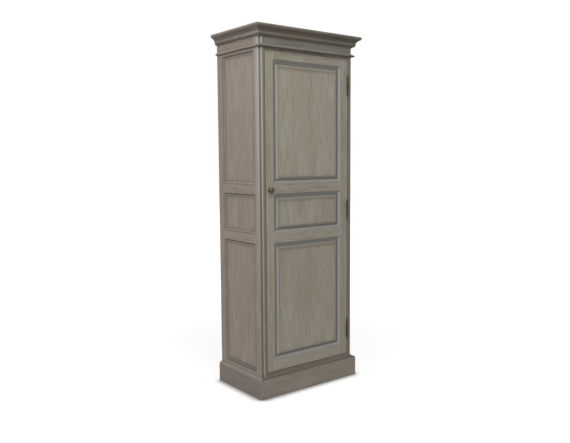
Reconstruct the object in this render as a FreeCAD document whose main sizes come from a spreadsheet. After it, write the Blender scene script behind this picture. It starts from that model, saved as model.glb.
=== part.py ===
import FreeCAD, Part
import math
import os
import re

import Sketcher

# Bonnetiere cabinet: one tall inset door of three raised panels, coved front
# corner posts, framed sides, a crown cornice over an astragal bead, and a plinth.
# +X is to the right seen from the front, the front faces -Y, and +Z is up.
# The origin is on the floor, under the middle of the overall box. Sizes are in mm.

Vector = FreeCAD.Vector
LEFT, RIGHT = -1, 1
UP = Vector(0, 0, 1)

# --------------------------------------------------------------------------
# Driving dimensions
# --------------------------------------------------------------------------

SIZES = {
    # whole case
    "overall_height": 2150,
    "body_width": 714,
    "body_depth": 437,
    # mouldings round the case
    "cornice_overhang": 43,
    "cornice_height": 66,
    "cornice_foot": 1.5,
    "cornice_foot_height": 4,
    "cornice_ovolo": 15,
    "cornice_neck": 3,
    "cornice_step": 1,
    "cornice_fillet": 4,
    "cornice_nose": 16,
    "cornice_brow": 8,
    "frieze_height": 38,
    "astragal_overhang": 12,
    "astragal_height": 18,
    "astragal_cove": 5,
    "plinth_overhang": 20,
    "plinth_height": 127,
    "plinth_round": 14,
    "plinth_cove": 4,
    "plinth_lip": 1,
    # door opening and front frame
    "opening_drop": 12,
    "sill_rise": 19,
    "post_face": 37,
    "post_cove": 10,
    "case_rail_thickness": 24,
    "case_rail_base": 60,
    "case_tenon_front": 9,
    "case_tenon_width": 8,
    "case_tenon": 20,
    "case_haunch": 10,
    # framed sides
    "side_stile": 53,
    "side_rail": 51,
    "side_upper_base": 1199,
    "side_top_strip": 13,
    "side_bottom_strip": 20,
    "side_thickness": 22,
    "side_sticking": 14,
    "side_lip": 1.5,
    "side_quirk": 1,
    "side_drop": 6,
    "side_groove_front": 9.5,
    "side_groove_width": 8.2,
    "side_groove_depth": 10,
    "side_tenon": 32,
    "side_haunch": 12,
    "side_panel": 8,
    # door frame
    "door_gap": 3,
    "door_thickness": 24,
    "door_stile": 55,
    "bottom_rail": 65,
    "lower_rail": 56,
    "lower_rail_base": 914,
    "lock_rail": 55,
    "lock_rail_base": 1202,
    "top_rail": 48,
    "door_sticking": 20,
    "door_lip": 2,
    "door_quirk": 2,
    "door_drop": 6,
    "door_groove_front": 10.5,
    "door_groove_width": 7,
    "door_groove_depth": 10,
    "door_tenon": 42,
    "door_haunch": 15,
    # raised door panels
    "panel_rise": 3,
    "panel_step": 2,
    "panel_reveal": 2,
    "panel_bevel": 18,
    "panel_bevel_round": 60,
    "panel_play": 1.5,
    "panel_fit": 0.1,
    # hinges
    "barrel_radius": 6,
    "barrel_clear": 0.3,
    "pin_radius": 2.5,
    "pin_fit": 0.05,
    "hinge_height": 100,
    "hinge_from_end": 162,
    "knuckle_play": 0.3,
    "leaf_play": 0.2,
    "leaf_width": 20,
    "finial_height": 21.5,
    "finial_collar": 2.5,
    "finial_neck": 2.6,
    "finial_belly": 4.8,
    # knob
    "knob_rise": 21,
    "knob_radius": 16.5,
    "knob_crown": 10.5,
    "knob_cup": 9,
    "knob_neck": 5.5,
    "knob_reach": 33,
    "rosette_radius": 14,
    "rosette_rim": 1.2,
    "rosette_thickness": 3.5,
    "knob_screw_radius": 2,
    "knob_screw_fit": 0.1,
    "knob_screw_grip": 15,
    # inside
    "top_board": 18,
    "floor_board": 18,
    "fixed_shelf": 20,
    "fixed_shelf_base": 936,
    "shelf_board": 19,
    "shelf_play": 1,
    "shelf_setback": 37,
    "shelf_rear_play": 4,
    "shelf_nose": 4,
    "shelf_pin_radius": 2.5,
    "shelf_pin_fit": 0.1,
    "shelf_pin_depth": 9,
    "shelf_pin_seat": 11,
    "shelf_pin_pitch": 32,
    "shelf_pin_inset": 45,
    "back_board": 12,
    "back_inset": 1,
    "back_rebate": 10,
    "back_joint": 1,
    "back_tongue": 6,
    "back_tongue_width": 4,
    "back_chamfer": 2,
    "block_length": 45,
    "block_offset": 190,
    # magnetic catch
    "catch_thickness": 14,
    "catch_depth": 30,
    "catch_height": 46,
    "catch_play": 0.3,
    "strike_width": 16,
    "strike_height": 40,
    "strike_thickness": 1.5,
    # fixing to a wall
    "wall_hole_spacing": 406.4,
    "wall_hole_radius": 2.5,
    "wall_hole_countersink": 5,
    "wall_hole_drop": 52,
}

# Places that follow from the driving dimensions.
PLACES = {
    "half": "body_width / 2",
    "front": "(cornice_overhang - body_depth) / 2",
    "back": "(cornice_overhang + body_depth) / 2",
    "opening_half": "half - post_face",
    "opening_bottom": "plinth_height + sill_rise",
    "cornice_base": "overall_height - cornice_height",
    "cornice_neck_out": "cornice_foot + cornice_ovolo",
    "cornice_neck_top": "cornice_foot_height + cornice_ovolo + cornice_neck",
    "cornice_roll_out": "cornice_overhang - cornice_nose",
    "cornice_roll_top": "cornice_height - cornice_brow",
    "cornice_roll_base": "cornice_roll_top - cornice_nose",
    "cornice_cove_out": "cornice_roll_out - cornice_step - cornice_neck_out",
    "cornice_cove_rise": "cornice_roll_base - cornice_fillet - cornice_neck_top",
    "cornice_cove": "(cornice_cove_out + cornice_cove_rise * cornice_cove_rise / cornice_cove_out) / 2",
    "astragal_bead": "(astragal_height - astragal_cove) / 2",
    "astragal_base": "cornice_base - frieze_height - astragal_height",
    "opening_top": "astragal_base - opening_drop",
    "case_top": "overall_height - top_board",
    "wall_hole_height": "case_top - wall_hole_drop",
    "case_tenon_back": "case_tenon_front + case_tenon_width",
    "side_front_edge": "front + side_stile",
    "side_back_edge": "back - side_stile",
    "side_span": "side_back_edge - side_front_edge",
    "side_middle": "(side_front_edge + side_back_edge) / 2",
    "side_top_base": "astragal_base - side_top_strip",
    "side_bottom_top": "plinth_height + side_bottom_strip",
    "side_run": "side_sticking - side_lip",
    "side_ogee": "(side_run * side_run + side_drop * side_drop) / (4 * side_drop)",
    "side_groove_back": "side_groove_front + side_groove_width",
    "door_half": "opening_half - door_gap",
    "door_bottom": "opening_bottom + door_gap",
    "door_top": "opening_top - door_gap",
    "door_height": "door_top - door_bottom",
    "door_span": "2 * (door_half - door_stile)",
    "door_back": "front + door_thickness",
    "door_run": "door_sticking - door_lip",
    "door_ogee": "(door_run * door_run + door_drop * door_drop) / (4 * door_drop)",
    "door_groove_back": "door_groove_front + door_groove_width",
    "top_rail_base": "door_top - top_rail",
    "hinge_axis": "door_half + door_gap / 2",
    "barrel_stand": "barrel_radius + barrel_clear",
    "hinge_front": "front - barrel_stand",
    "lower_hinge": "door_bottom + hinge_from_end",
    "upper_hinge": "door_top - hinge_from_end",
    "middle_hinge": "(lower_hinge + upper_hinge) / 2",
    "leaf_end": "barrel_stand + leaf_width",
    "knob_across": "door_half - door_stile / 2",
    "knob_height": "lock_rail_base + knob_rise",
    "knob_dome": "(knob_radius * knob_radius + knob_crown * knob_crown) / (2 * knob_crown)",
    "floor_top": "opening_bottom",
    "fixed_shelf_top": "fixed_shelf_base + fixed_shelf",
    "inner_half": "half - side_thickness",
    "front_post_back": "side_front_edge + side_sticking",
    "rear_post_front": "side_back_edge - side_sticking",
    "back_face": "back - back_inset - back_board",
    "shelf_front": "front + shelf_setback",
    "shelf_rear": "back_face - shelf_rear_play",
    "pin_front_row": "front + shelf_pin_inset",
    "pin_rear_row": "back - shelf_pin_inset",
    "lower_shelf_base": "(floor_top + fixed_shelf_base) / 2",
    "middle_shelf_base": "fixed_shelf_top + (case_top - fixed_shelf_top) / 3",
    "upper_shelf_base": "fixed_shelf_top + (case_top - fixed_shelf_top) * 2 / 3",
}

# How far a cutting outline runs past the wood that it cuts.
PAST = 1

os.makedirs("parts", exist_ok=True)
doc = FreeCAD.newDocument("bonnetiere_cabinet")
pieces = []


def bound(formula, own_sheet=False):
    """A formula with each size and place named by its sheet."""
    def full_name(match):
        word = match.group(0)
        if word in SIZES:
            return "Sizes." + word
        if word in PLACES and not own_sheet:
            return "Places." + word
        return word
    return re.sub(r"[a-z][a-z_]+", full_name, formula)


def write_sheet(name, rows):
    """Fill a sheet with names in column A and their cells, with aliases, in column B."""
    sheet = doc.addObject("Spreadsheet::Sheet", name)
    for row, (alias, content) in enumerate(rows.items(), start=1):
        sheet.set(f"A{row}", alias)
        sheet.set(f"B{row}", content)
        sheet.setAlias(f"B{row}", alias)
    return sheet


sizes = write_sheet("Sizes", {alias: str(number) for alias, number in SIZES.items()})
write_sheet("Places", {alias: "=" + bound(formula, own_sheet=True) for alias, formula in PLACES.items()})
doc.recompute()


def value(formula):
    """What a formula comes to with the sheets as they stand."""
    return float(sizes.evalExpression(bound(formula)))


# --------------------------------------------------------------------------
# Outlines and features
# --------------------------------------------------------------------------
# An outline is a list of corners (across, up). A corner may carry (radius, turn)
# for an arc to the next corner, with its centre to the left (+1) or right (-1).

def origin_part(body, role):
    return next(part for part in body.Origin.OriginFeatures if part.Role == role)


def arc_between(start, end, radius, turn):
    """The short arc between two corners, drawn anticlockwise as a sketch keeps it."""
    chord = end - start
    to_left = Vector(-chord.y, chord.x, 0).normalize()
    rise = math.sqrt(max(radius ** 2 - chord.Length ** 2 / 4, 0))
    centre = (start + end) / 2 + to_left * (turn * rise)
    first, last = (start, end) if turn > 0 else (end, start)
    angles = [math.atan2(point.y - centre.y, point.x - centre.x) for point in (first, last)]
    return Part.ArcOfCircle(Part.Circle(centre, UP, radius), *angles)


def bind(sketch, kind, where, formula):
    """A constraint whose size follows a formula."""
    index = sketch.addConstraint(Sketcher.Constraint(kind, *where, value(formula)))
    sketch.setExpression(f"Constraints[{index}]", bound(formula))


def bind_point(sketch, edge, end, across, up):
    bind(sketch, "DistanceX", (-1, 1, edge, end), across)
    bind(sketch, "DistanceY", (-1, 1, edge, end), up)


def draw_circle(sketch, across, up, radius):
    centre = Vector(value(across), value(up), 0)
    edge = sketch.addGeometry(Part.Circle(centre, UP, value(radius)))
    bind_point(sketch, edge, 3, across, up)
    bind(sketch, "Radius", (edge,), radius)


def draw_loop(sketch, corners):
    """A closed chain of lines and arcs whose corners follow their formulas."""
    points = [Vector(value(corner[0]), value(corner[1]), 0) for corner in corners]
    ends = []
    for number, corner in enumerate(corners):
        start, end = points[number], points[(number + 1) % len(points)]
        if len(corner) == 2:
            edge = sketch.addGeometry(Part.LineSegment(start, end))
            ends.append((edge, 1, 2))
            continue
        radius, turn = corner[2:]
        edge = sketch.addGeometry(arc_between(start, end, value(radius), turn))
        ends.append((edge, 1, 2) if turn > 0 else (edge, 2, 1))
    for number, corner in enumerate(corners):
        edge, first, last = ends[number]
        following = ends[(number + 1) % len(ends)]
        sketch.addConstraint(Sketcher.Constraint("Coincident", edge, last, following[0], following[1]))
        bind_point(sketch, edge, first, corner[0], corner[1])
        if len(corner) == 4:
            bind(sketch, "Radius", (edge,), corner[2])


def outline(body, plane, loops=(), circles=(), lift="0"):
    """A sketch on one of the body's own planes, lifted along the plane's normal."""
    sketch = body.newObject("Sketcher::SketchObject", "Outline")
    sketch.AttachmentSupport = [(origin_part(body, plane), "")]
    sketch.MapMode = "FlatFace"
    sketch.setExpression("AttachmentOffset.Base.z", bound(lift))
    for corners in loops:
        draw_loop(sketch, corners)
    for circle in circles:
        draw_circle(sketch, *circle)
    return sketch


def new_body(label):
    body = doc.addObject("PartDesign::Body", label)
    body.Label = label
    return body


def pad(body, sketch, length, centred=False, reverse=False):
    feature = body.newObject("PartDesign::Pad", "Pad")
    feature.Profile = sketch
    feature.setExpression("Length", bound(length))
    feature.Midplane = centred
    feature.Reversed = reverse
    sketch.Visibility = False
    return feature


def pocket(body, sketch, length=None, reverse=False):
    """Cut to a length along the sketch's back, or right through both ways when none is given."""
    feature = body.newObject("PartDesign::Pocket", "Pocket")
    feature.Profile = sketch
    if length is None:
        feature.Type = "ThroughAll"
        feature.Midplane = True
    else:
        feature.setExpression("Length", bound(length))
        feature.Reversed = reverse
    sketch.Visibility = False
    return feature


def turned(label, corners):
    """A piece turned about its own +Z, from the half outline (radius, height)."""
    body = new_body(label)
    sketch = outline(body, "XZ_Plane", [corners])
    feature = body.newObject("PartDesign::Revolution", "Turning")
    feature.Profile = sketch
    feature.ReferenceAxis = (sketch, ["V_Axis"])
    feature.Angle = 360
    return body


def put(piece, x="0", y="0", z="0", axis=UP, angle=0):
    """Stand a piece at formulas for its place, turned about one axis."""
    piece.Placement = FreeCAD.Placement(Vector(), FreeCAD.Rotation(axis, angle))
    for name, formula in zip("xyz", (x, y, z)):
        piece.setExpression("Placement.Base." + name, bound(formula))
    return piece


def keep(piece, *place, **turn):
    """Put a piece in its place and count it as a sub-part."""
    pieces.append(put(piece, *place, **turn))
    return piece


def box_between(label, x, y, z):
    """A plain board between low and high formulas along each axis."""
    board = doc.addObject("Part::Box", label)
    board.Label = label
    for side, (low, high) in zip(("Length", "Width", "Height"), (x, y, z)):
        board.setExpression(side, bound(f"({high}) - ({low})"))
    return put(board, x[0], y[0], z[0])


def grouped(label, members):
    """Separate solids that share one sub-part."""
    group = doc.addObject("Part::Compound", label)
    group.Label = label
    group.Links = members
    pieces.append(group)
    return group


def copy_of(piece, *place, **turn):
    link = doc.addObject("App::Link", piece.Label + "_copy")
    link.LinkedObject = piece
    return put(link, *place, **turn)


def rectangle(left, right, low, high):
    return [(left, low), (right, low), (right, high), (left, high)]


def backwards(corners):
    """The same open run of corners, walked from its other end."""
    run = []
    for number in range(len(corners) - 1, -1, -1):
        arc = corners[number - 1][2:] if number else ()
        flipped = (arc[0], -arc[1]) if arc else ()
        run.append(tuple(corners[number][:2]) + flipped)
    return run


def laid(corners, lay, mirrored):
    """Corners (inward, deep) laid out on a sketch; a mirrored layout turns its arcs the other way."""
    run = []
    for corner in corners:
        arc = corner[2:]
        if arc and mirrored:
            arc = (arc[0], -arc[1])
        run.append(tuple(lay(corner[0], corner[1])) + tuple(arc))
    return run


# --------------------------------------------------------------------------
# Frame members: moulded, grooved edges and coped, tenoned rails
# --------------------------------------------------------------------------

def sticking(frame):
    """The ogee on a frame's inner edge, as (inward from the flat, deep from the face)."""
    return [
        ("0", "0"),
        ("0", f"{frame}_quirk", f"{frame}_ogee", 1),
        (f"{frame}_run / 2", f"{frame}_quirk + {frame}_drop / 2", f"{frame}_ogee", -1),
        (f"{frame}_run", f"{frame}_quirk + {frame}_drop"),
        (f"{frame}_sticking", f"{frame}_quirk + {frame}_drop"),
    ]


def grooved_edge(frame, thickness):
    """The sticking, the panel groove behind it, and the square edge back to a thickness."""
    mouth = f"{frame}_sticking"
    bottom = f"{frame}_sticking - {frame}_groove_depth"
    return sticking(frame) + [
        (mouth, f"{frame}_groove_front"),
        (bottom, f"{frame}_groove_front"),
        (bottom, f"{frame}_groove_back"),
        (mouth, f"{frame}_groove_back"),
        (mouth, thickness),
    ]


def tongue_reach(frame, moulded):
    """How far past its flat edge a rail's tongue reaches on a moulded or a plain side."""
    return f"{frame}_sticking - {frame}_groove_depth" if moulded else "0"


def tenon_span(frame, base, face, lower, upper):
    """The low and high formulas of a rail's long tenon, above the floor."""
    low = f"{base} - ({tongue_reach(frame, lower)}) + {frame}_haunch"
    high = f"{base} + {face} + ({tongue_reach(frame, upper)}) - {frame}_haunch"
    return low, high


def rail(label, frame, face, lower, upper):
    """A rail along its own X, with its face at y = 0 and its flat from z = 0 up to the face height."""
    body = new_body(label)
    thickness = f"{frame}_thickness"
    plain_top = [("0", face), (thickness, face)]
    plain_foot = [("0", "0"), (thickness, "0")]
    edge = grooved_edge(frame, thickness)
    top = laid(edge, lambda inward, deep: (deep, f"{face} + ({inward})"), True) if upper else plain_top
    foot = laid(edge, lambda inward, deep: (deep, f"-({inward})"), False) if lower else plain_foot
    section = outline(body, "YZ_Plane", [top + backwards(foot)])
    shoulder = f"{frame}_span / 2 - {frame}_sticking"
    pad(body, section, f"2 * ({shoulder} + {frame}_tenon)", centred=True)

    cheeks = []
    haunches = []
    end = f"{shoulder} + {frame}_tenon + {PAST}"
    stub = f"{shoulder} + {frame}_groove_depth"
    high = f"{face} + ({tongue_reach(frame, upper)})"
    low = f"-({tongue_reach(frame, lower)})"
    for side in (LEFT, RIGHT):
        cope = laid(sticking(frame), lambda inward, deep: (f"{side} * ({frame}_span / 2 - ({inward}))", deep),
                    side == RIGHT)
        cheeks.append(cope + [
            (f"{side} * ({shoulder})", f"{frame}_groove_front"),
            (f"{side} * ({end})", f"{frame}_groove_front"),
            (f"{side} * ({end})", f"-{PAST}"),
            (f"{side} * {frame}_span / 2", f"-{PAST}"),
        ])
        cheeks.append(rectangle(f"{side} * ({shoulder})", f"{side} * ({end})",
                                f"{frame}_groove_back", f"{thickness} + {PAST}"))
        haunches.append(rectangle(f"{side} * ({stub})", f"{side} * ({end})",
                                  f"{high} - {frame}_haunch", f"{high} + {PAST}"))
        haunches.append(rectangle(f"{side} * ({stub})", f"{side} * ({end})",
                                  f"{low} - {PAST}", f"{low} + {frame}_haunch"))
    pocket(body, outline(body, "XY_Plane", cheeks))
    pocket(body, outline(body, "XZ_Plane", haunches, lift=f"-{frame}_groove_front"), f"{frame}_groove_width")
    return body


def rail_mortises(frame, rails):
    """The low and high formulas of the mortises that a frame's rails need."""
    return [tenon_span(frame, base, face, lower, upper) for base, face, lower, upper in rails.values()]


# Each rail: its base above the floor, its face height, and whether each edge is moulded.
DOOR_RAILS = {
    "door_bottom_rail": ("door_bottom", "bottom_rail", False, True),
    "door_lower_rail": ("lower_rail_base", "lower_rail", True, True),
    "door_lock_rail": ("lock_rail_base", "lock_rail", True, True),
    "door_top_rail": ("top_rail_base", "top_rail", True, False),
}

SIDE_RAILS = {
    "bottom_side_rail": ("case_rail_base", "(side_bottom_top - case_rail_base)", False, True),
    "lower_side_rail": ("lower_rail_base", "side_rail", True, True),
    "upper_side_rail": ("side_upper_base", "side_rail", True, True),
    "top_side_rail": ("side_top_base", "(case_top - side_top_base)", True, False),
}


def openings_between(rails):
    """The flat-to-flat heights between each rail and the next one up."""
    order = list(rails.values())
    return [(f"{base} + {face}", above[0]) for (base, face, _, _), above in zip(order, order[1:])]


# --------------------------------------------------------------------------
# Door
# --------------------------------------------------------------------------

HINGES = ("lower_hinge", "middle_hinge", "upper_hinge")


def door_stile(label, side):
    """A stile along its own Z from the foot of the door, with its face at y = 0."""
    body = new_body(label)
    edge = laid(grooved_edge("door", "door_thickness"),
                lambda inward, deep: (f"{side} * (door_span / 2 - ({inward}))", deep), side == RIGHT)
    outer = [(f"{side} * door_half", "door_thickness"), (f"{side} * door_half", "0")]
    pad(body, outline(body, "XY_Plane", [edge + outer]), "door_height")

    depth = f"door_tenon + {PAST}"
    mortises = [rectangle("door_groove_front", "door_groove_back",
                          f"{low} - door_bottom", f"{high} - door_bottom")
                for low, high in rail_mortises("door", DOOR_RAILS)]
    sketch = outline(body, "YZ_Plane", mortises, lift=f"{side} * (door_span / 2 - door_sticking + {depth})")
    pocket(body, sketch, depth, reverse=side == LEFT)
    return body


def lock_stile():
    body = door_stile("door_lock_stile", LEFT)
    hole = ("-knob_across", "knob_height - door_bottom", "knob_screw_radius + knob_screw_fit")
    pocket(body, outline(body, "XZ_Plane", circles=[hole]))
    keep(body, "0", "front", "door_bottom")


def panel_bevels(field, foot):
    """The wood taken off one edge of a raised panel, as (out from the middle, deep from the door's face)."""
    deep = "door_groove_front + panel_fit"
    return [
        (field, f"panel_rise - {PAST}"),
        (field, "panel_rise + panel_step", "panel_bevel_round", -1),
        (f"{field} + panel_bevel", deep),
        (f"{foot} + {PAST}", deep),
        (f"{foot} + {PAST}", f"panel_rise - {PAST}"),
    ]


def raised_panel(label, low, high):
    """A panel held in the door's grooves between two flat edges above the floor."""
    body = new_body(label)
    tongue = "door_sticking - door_groove_depth + panel_play"
    field = "door_sticking + panel_reveal + panel_bevel"
    half_width = f"door_span / 2 - ({tongue})"
    half_height = f"({high} - ({low})) / 2 - ({tongue})"
    back = "door_groove_back - panel_fit"
    blank = outline(body, "XZ_Plane",
                    [rectangle(f"-({half_width})", half_width, f"-({half_height})", half_height)],
                    lift=f"-({back})")
    pad(body, blank, f"{back} - panel_rise")
    across = panel_bevels(f"door_span / 2 - ({field})", half_width)
    upward = panel_bevels(f"({high} - ({low})) / 2 - ({field})", half_height)
    pocket(body, outline(body, "XY_Plane", [
        laid(across, lambda out, deep: (f"{side} * ({out})", deep), side == LEFT)
        for side in (LEFT, RIGHT)]))
    pocket(body, outline(body, "YZ_Plane", [
        laid(upward, lambda out, deep: (deep, f"{side} * ({out})"), side == RIGHT)
        for side in (LEFT, RIGHT)]))
    keep(body, "0", "front", f"({low} + {high}) / 2")


def door():
    lock_stile()
    keep(door_stile("door_hinge_stile", RIGHT), "0", "front", "door_bottom")
    for label, (base, face, lower, upper) in DOOR_RAILS.items():
        keep(rail(label, "door", face, lower, upper), "0", "front", base)
    names = ("door_lower_panel", "door_middle_panel", "door_upper_panel")
    for label, (low, high) in zip(names, openings_between(DOOR_RAILS)):
        raised_panel(label, low, high)


# --------------------------------------------------------------------------
# Hinges: knuckled leaves in the gap, and finialled pins proud of the face
# --------------------------------------------------------------------------

KNUCKLES = 3


def hinge_leaf(label, side):
    """A leaf about its own hinge axis: the frame's on the right, the door's on the left."""
    body = new_body(label)
    ring = [("0", "0", "barrel_radius"), ("0", "0", "pin_radius + pin_fit")]
    pad(body, outline(body, "XY_Plane", circles=ring), "hinge_height", centred=True)
    plate = rectangle(f"{side} * leaf_play / 2", f"{side} * door_gap / 2",
                      "(barrel_radius + pin_radius) / 2", "leaf_end")
    pad(body, outline(body, "XY_Plane", [plate]), "hinge_height", centred=True)

    notches = []
    first = 1 if side == RIGHT else 0
    for number in range(first, KNUCKLES, 2):
        low = f"hinge_height * ({number} / {KNUCKLES} - 1 / 2) - knuckle_play / 2"
        high = f"hinge_height * ({number + 1} / {KNUCKLES} - 1 / 2) + knuckle_play / 2"
        notches.append(rectangle(f"-barrel_radius - {PAST}", f"barrel_radius + {PAST}", low, high))
    sketch = outline(body, "XZ_Plane", notches, lift="-barrel_stand")
    pocket(body, sketch, f"2 * barrel_radius + {PAST}", reverse=True)
    return body


def hinge_pin():
    """A pin with a pointed, turned finial on each end, about its own middle."""
    top = "hinge_height / 2"
    finial = [
        ("pin_radius", top),
        ("barrel_radius", top),
        ("barrel_radius", f"{top} + finial_collar"),
        ("finial_neck", f"{top} + 2 * finial_collar"),
        ("finial_belly", f"{top} + finial_height / 2"),
        ("0", f"{top} + finial_height"),
    ]
    foot = laid(finial, lambda radius, height: (radius, f"-({height})"), True)
    return turned("hinge_pin", backwards(foot) + finial)


def hinges():
    for label, part in (("hinge_frame_leaves", hinge_leaf("frame_leaf", RIGHT)),
                        ("hinge_door_leaves", hinge_leaf("door_leaf", LEFT)),
                        ("hinge_pins", hinge_pin())):
        grouped(label, [copy_of(part, "hinge_axis", "hinge_front", hinge) for hinge in HINGES])


# --------------------------------------------------------------------------
# Knob and catch
# --------------------------------------------------------------------------

def knob():
    """A mushroom knob on a rosette, held by one screw from inside the door."""
    bore = "knob_screw_radius + knob_screw_fit"
    seat = "rosette_thickness"
    rim = "knob_reach - knob_crown"
    rosette = turned("knob_rosette", [
        (bore, "0"),
        ("rosette_radius", "0"),
        ("rosette_radius", "rosette_rim"),
        ("rosette_radius - 1.5", "rosette_rim"),
        ("rosette_radius - 4", seat),
        (bore, seat),
    ])
    ball = turned("knob", [
        (bore, seat),
        ("knob_neck + 1.5", seat),
        ("knob_neck + 1.5", f"{seat} + 1.5"),
        ("knob_neck", f"{seat} + 3"),
        ("knob_neck", f"{rim} - knob_cup"),
        ("knob_radius - 1.5", f"{rim} - 3"),
        ("knob_radius", rim, "knob_dome", 1),
        ("0", "knob_reach"),
        ("0", f"{seat} + knob_screw_grip + {PAST}"),
        (bore, f"{seat} + knob_screw_grip + {PAST}"),
    ])
    screw = turned("knob_screw", [
        ("0", "-2.6"),
        ("2.8", "-2.6"),
        ("4.4", "-1.2"),
        ("4.4", "0"),
        ("knob_screw_radius", "0"),
        ("knob_screw_radius", f"door_thickness + {seat} + knob_screw_grip"),
        ("0", f"door_thickness + {seat} + knob_screw_grip"),
    ])
    outward = {"axis": Vector(1, 0, 0), "angle": 90}
    keep(rosette, "-knob_across", "front", "knob_height", **outward)
    keep(ball, "-knob_across", "front", "knob_height", **outward)
    keep(screw, "-knob_across", "door_back", "knob_height", **outward)


def catch():
    """A magnet block on the left post, and the steel strike that meets it behind the lock stile."""
    strike_back = "door_back + strike_thickness"
    wall = "-opening_half"
    pieces.append(box_between(
        "catch_strike",
        ("-door_half + 1", "-door_half + 1 + strike_width"),
        ("door_back", strike_back),
        ("knob_height - strike_height / 2", "knob_height + strike_height / 2")))
    body = new_body("catch_magnet")
    low = f"{strike_back} + catch_play"
    flange = "4"
    section = [
        (wall, low),
        (f"{wall} + catch_thickness", low),
        (f"{wall} + catch_thickness", f"{low} + catch_depth - 4", "4", 1),
        (f"{wall} + catch_thickness - 4", f"{low} + catch_depth"),
        (f"{wall} + {flange}", f"{low} + catch_depth"),
        (wall, f"{low} + catch_depth"),
    ]
    pad(body, outline(body, "XY_Plane", [section]), "catch_height", centred=True)
    keep(body, "0", "0", "knob_height")


# --------------------------------------------------------------------------
# Case frame: posts, rails, side panels
# --------------------------------------------------------------------------

CASE_RAILS = {
    "bottom": ("case_rail_base", "opening_bottom"),
    "top": ("opening_top", "case_top"),
}

REAR_RAILS = {
    "bottom": ("case_rail_base", "opening_bottom - floor_board"),
    "top": ("opening_top", "case_top"),
}

SHELVES = {
    "lower_shelf": "lower_shelf_base",
    "middle_shelf": "middle_shelf_base",
    "upper_shelf": "upper_shelf_base",
}


def post_joints(body, side, rails, tenon_face, pin_row):
    """Mortises for the front or rear rails and holes for shelf pins, in a post's inner face."""
    depth = f"case_tenon + {PAST}"
    mortises = [rectangle(f"{tenon_face} + case_tenon_front", f"{tenon_face} + case_tenon_back",
                          f"{low} + case_haunch", f"{high} - case_haunch") for low, high in rails.values()]
    sketch = outline(body, "YZ_Plane", mortises, lift=f"{side} * (opening_half + {depth})")
    pocket(body, sketch, depth, reverse=side == LEFT)
    holes = [(pin_row, f"{base} - shelf_pin_radius", "shelf_pin_radius + shelf_pin_fit")
             for base in SHELVES.values()]
    sketch = outline(body, "YZ_Plane", circles=holes, lift=f"{side} * opening_half")
    cut = pocket(body, sketch, f"shelf_pin_depth + {PAST}", reverse=side == RIGHT)
    doc.recompute()
    pattern = body.newObject("PartDesign::LinearPattern", "Pin_heights")
    pattern.Originals = [cut]
    pattern.Direction = (sketch, ["V_Axis"])
    pattern.setExpression("Length", bound("2 * shelf_pin_pitch"))
    pattern.Occurrences = 3
    body.Tip = pattern


def side_mortises(body, side, bottom, reverse):
    """Mortises for the side rails, cut from their bottom out through the grooved face."""
    near, far = f"{side} * (half - side_groove_back)", f"{side} * (half - side_groove_front)"
    mortises = [rectangle(near, far, low, high) for low, high in rail_mortises("side", SIDE_RAILS)]
    sketch = outline(body, "XZ_Plane", mortises, lift=f"-({bottom})")
    pocket(body, sketch, f"side_tenon + {PAST}", reverse=reverse)


def front_post(label, side):
    """A corner post with a coved outer arris and a moulded, grooved rear edge."""
    body = new_body(label)
    edge = laid(grooved_edge("side", "post_face"),
                lambda inward, deep: (f"{side} * (half - ({deep}))", f"side_front_edge + ({inward})"),
                side == LEFT)
    section = [
        (f"{side} * opening_half", "front"),
        (f"{side} * (half - post_cove)", "front", "post_cove", -side),
        (f"{side} * half", "front + post_cove"),
    ]
    pad(body, outline(body, "XY_Plane", [section + edge]), "case_top")
    side_mortises(body, side, f"front_post_back - side_tenon - {PAST}", False)
    post_joints(body, side, CASE_RAILS, "front", "pin_front_row")
    keep(body)


def rear_post(label, side):
    """A square post with a moulded, grooved front edge and a rebate for the back boards."""
    body = new_body(label)
    edge = laid(grooved_edge("side", "post_face"),
                lambda inward, deep: (f"{side} * (half - ({deep}))", f"side_back_edge - ({inward})"),
                side == RIGHT)
    section = [
        (f"{side} * opening_half", "back_face"),
        (f"{side} * (opening_half + back_rebate)", "back_face"),
        (f"{side} * (opening_half + back_rebate)", "back"),
        (f"{side} * half", "back"),
    ]
    pad(body, outline(body, "XY_Plane", [section + edge]), "case_top")
    side_mortises(body, side, f"rear_post_front + side_tenon + {PAST}", True)
    post_joints(body, side, REAR_RAILS, "back_face - case_rail_thickness", "pin_rear_row")
    keep(body)


def case_rail(label, low, high):
    """A plain rail between posts, along its own X, with stub tenons on its ends."""
    body = new_body(label)
    length = "2 * (opening_half + case_tenon)"
    pad(body, outline(body, "YZ_Plane", [rectangle("0", "case_rail_thickness", "0", f"{high} - ({low})")]),
        length, centred=True)
    end = f"opening_half + case_tenon + {PAST}"
    cheeks = []
    haunches = []
    for side in (LEFT, RIGHT):
        near, far = f"{side} * opening_half", f"{side} * ({end})"
        cheeks.append(rectangle(near, far, f"-{PAST}", "case_tenon_front"))
        cheeks.append(rectangle(near, far, "case_tenon_back", f"case_rail_thickness + {PAST}"))
        haunches.append(rectangle(near, far, f"-{PAST}", "case_haunch"))
        haunches.append(rectangle(near, far, f"{high} - ({low}) - case_haunch", f"{high} - ({low}) + {PAST}"))
    pocket(body, outline(body, "XY_Plane", cheeks))
    pocket(body, outline(body, "XZ_Plane", haunches))
    return body


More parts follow.
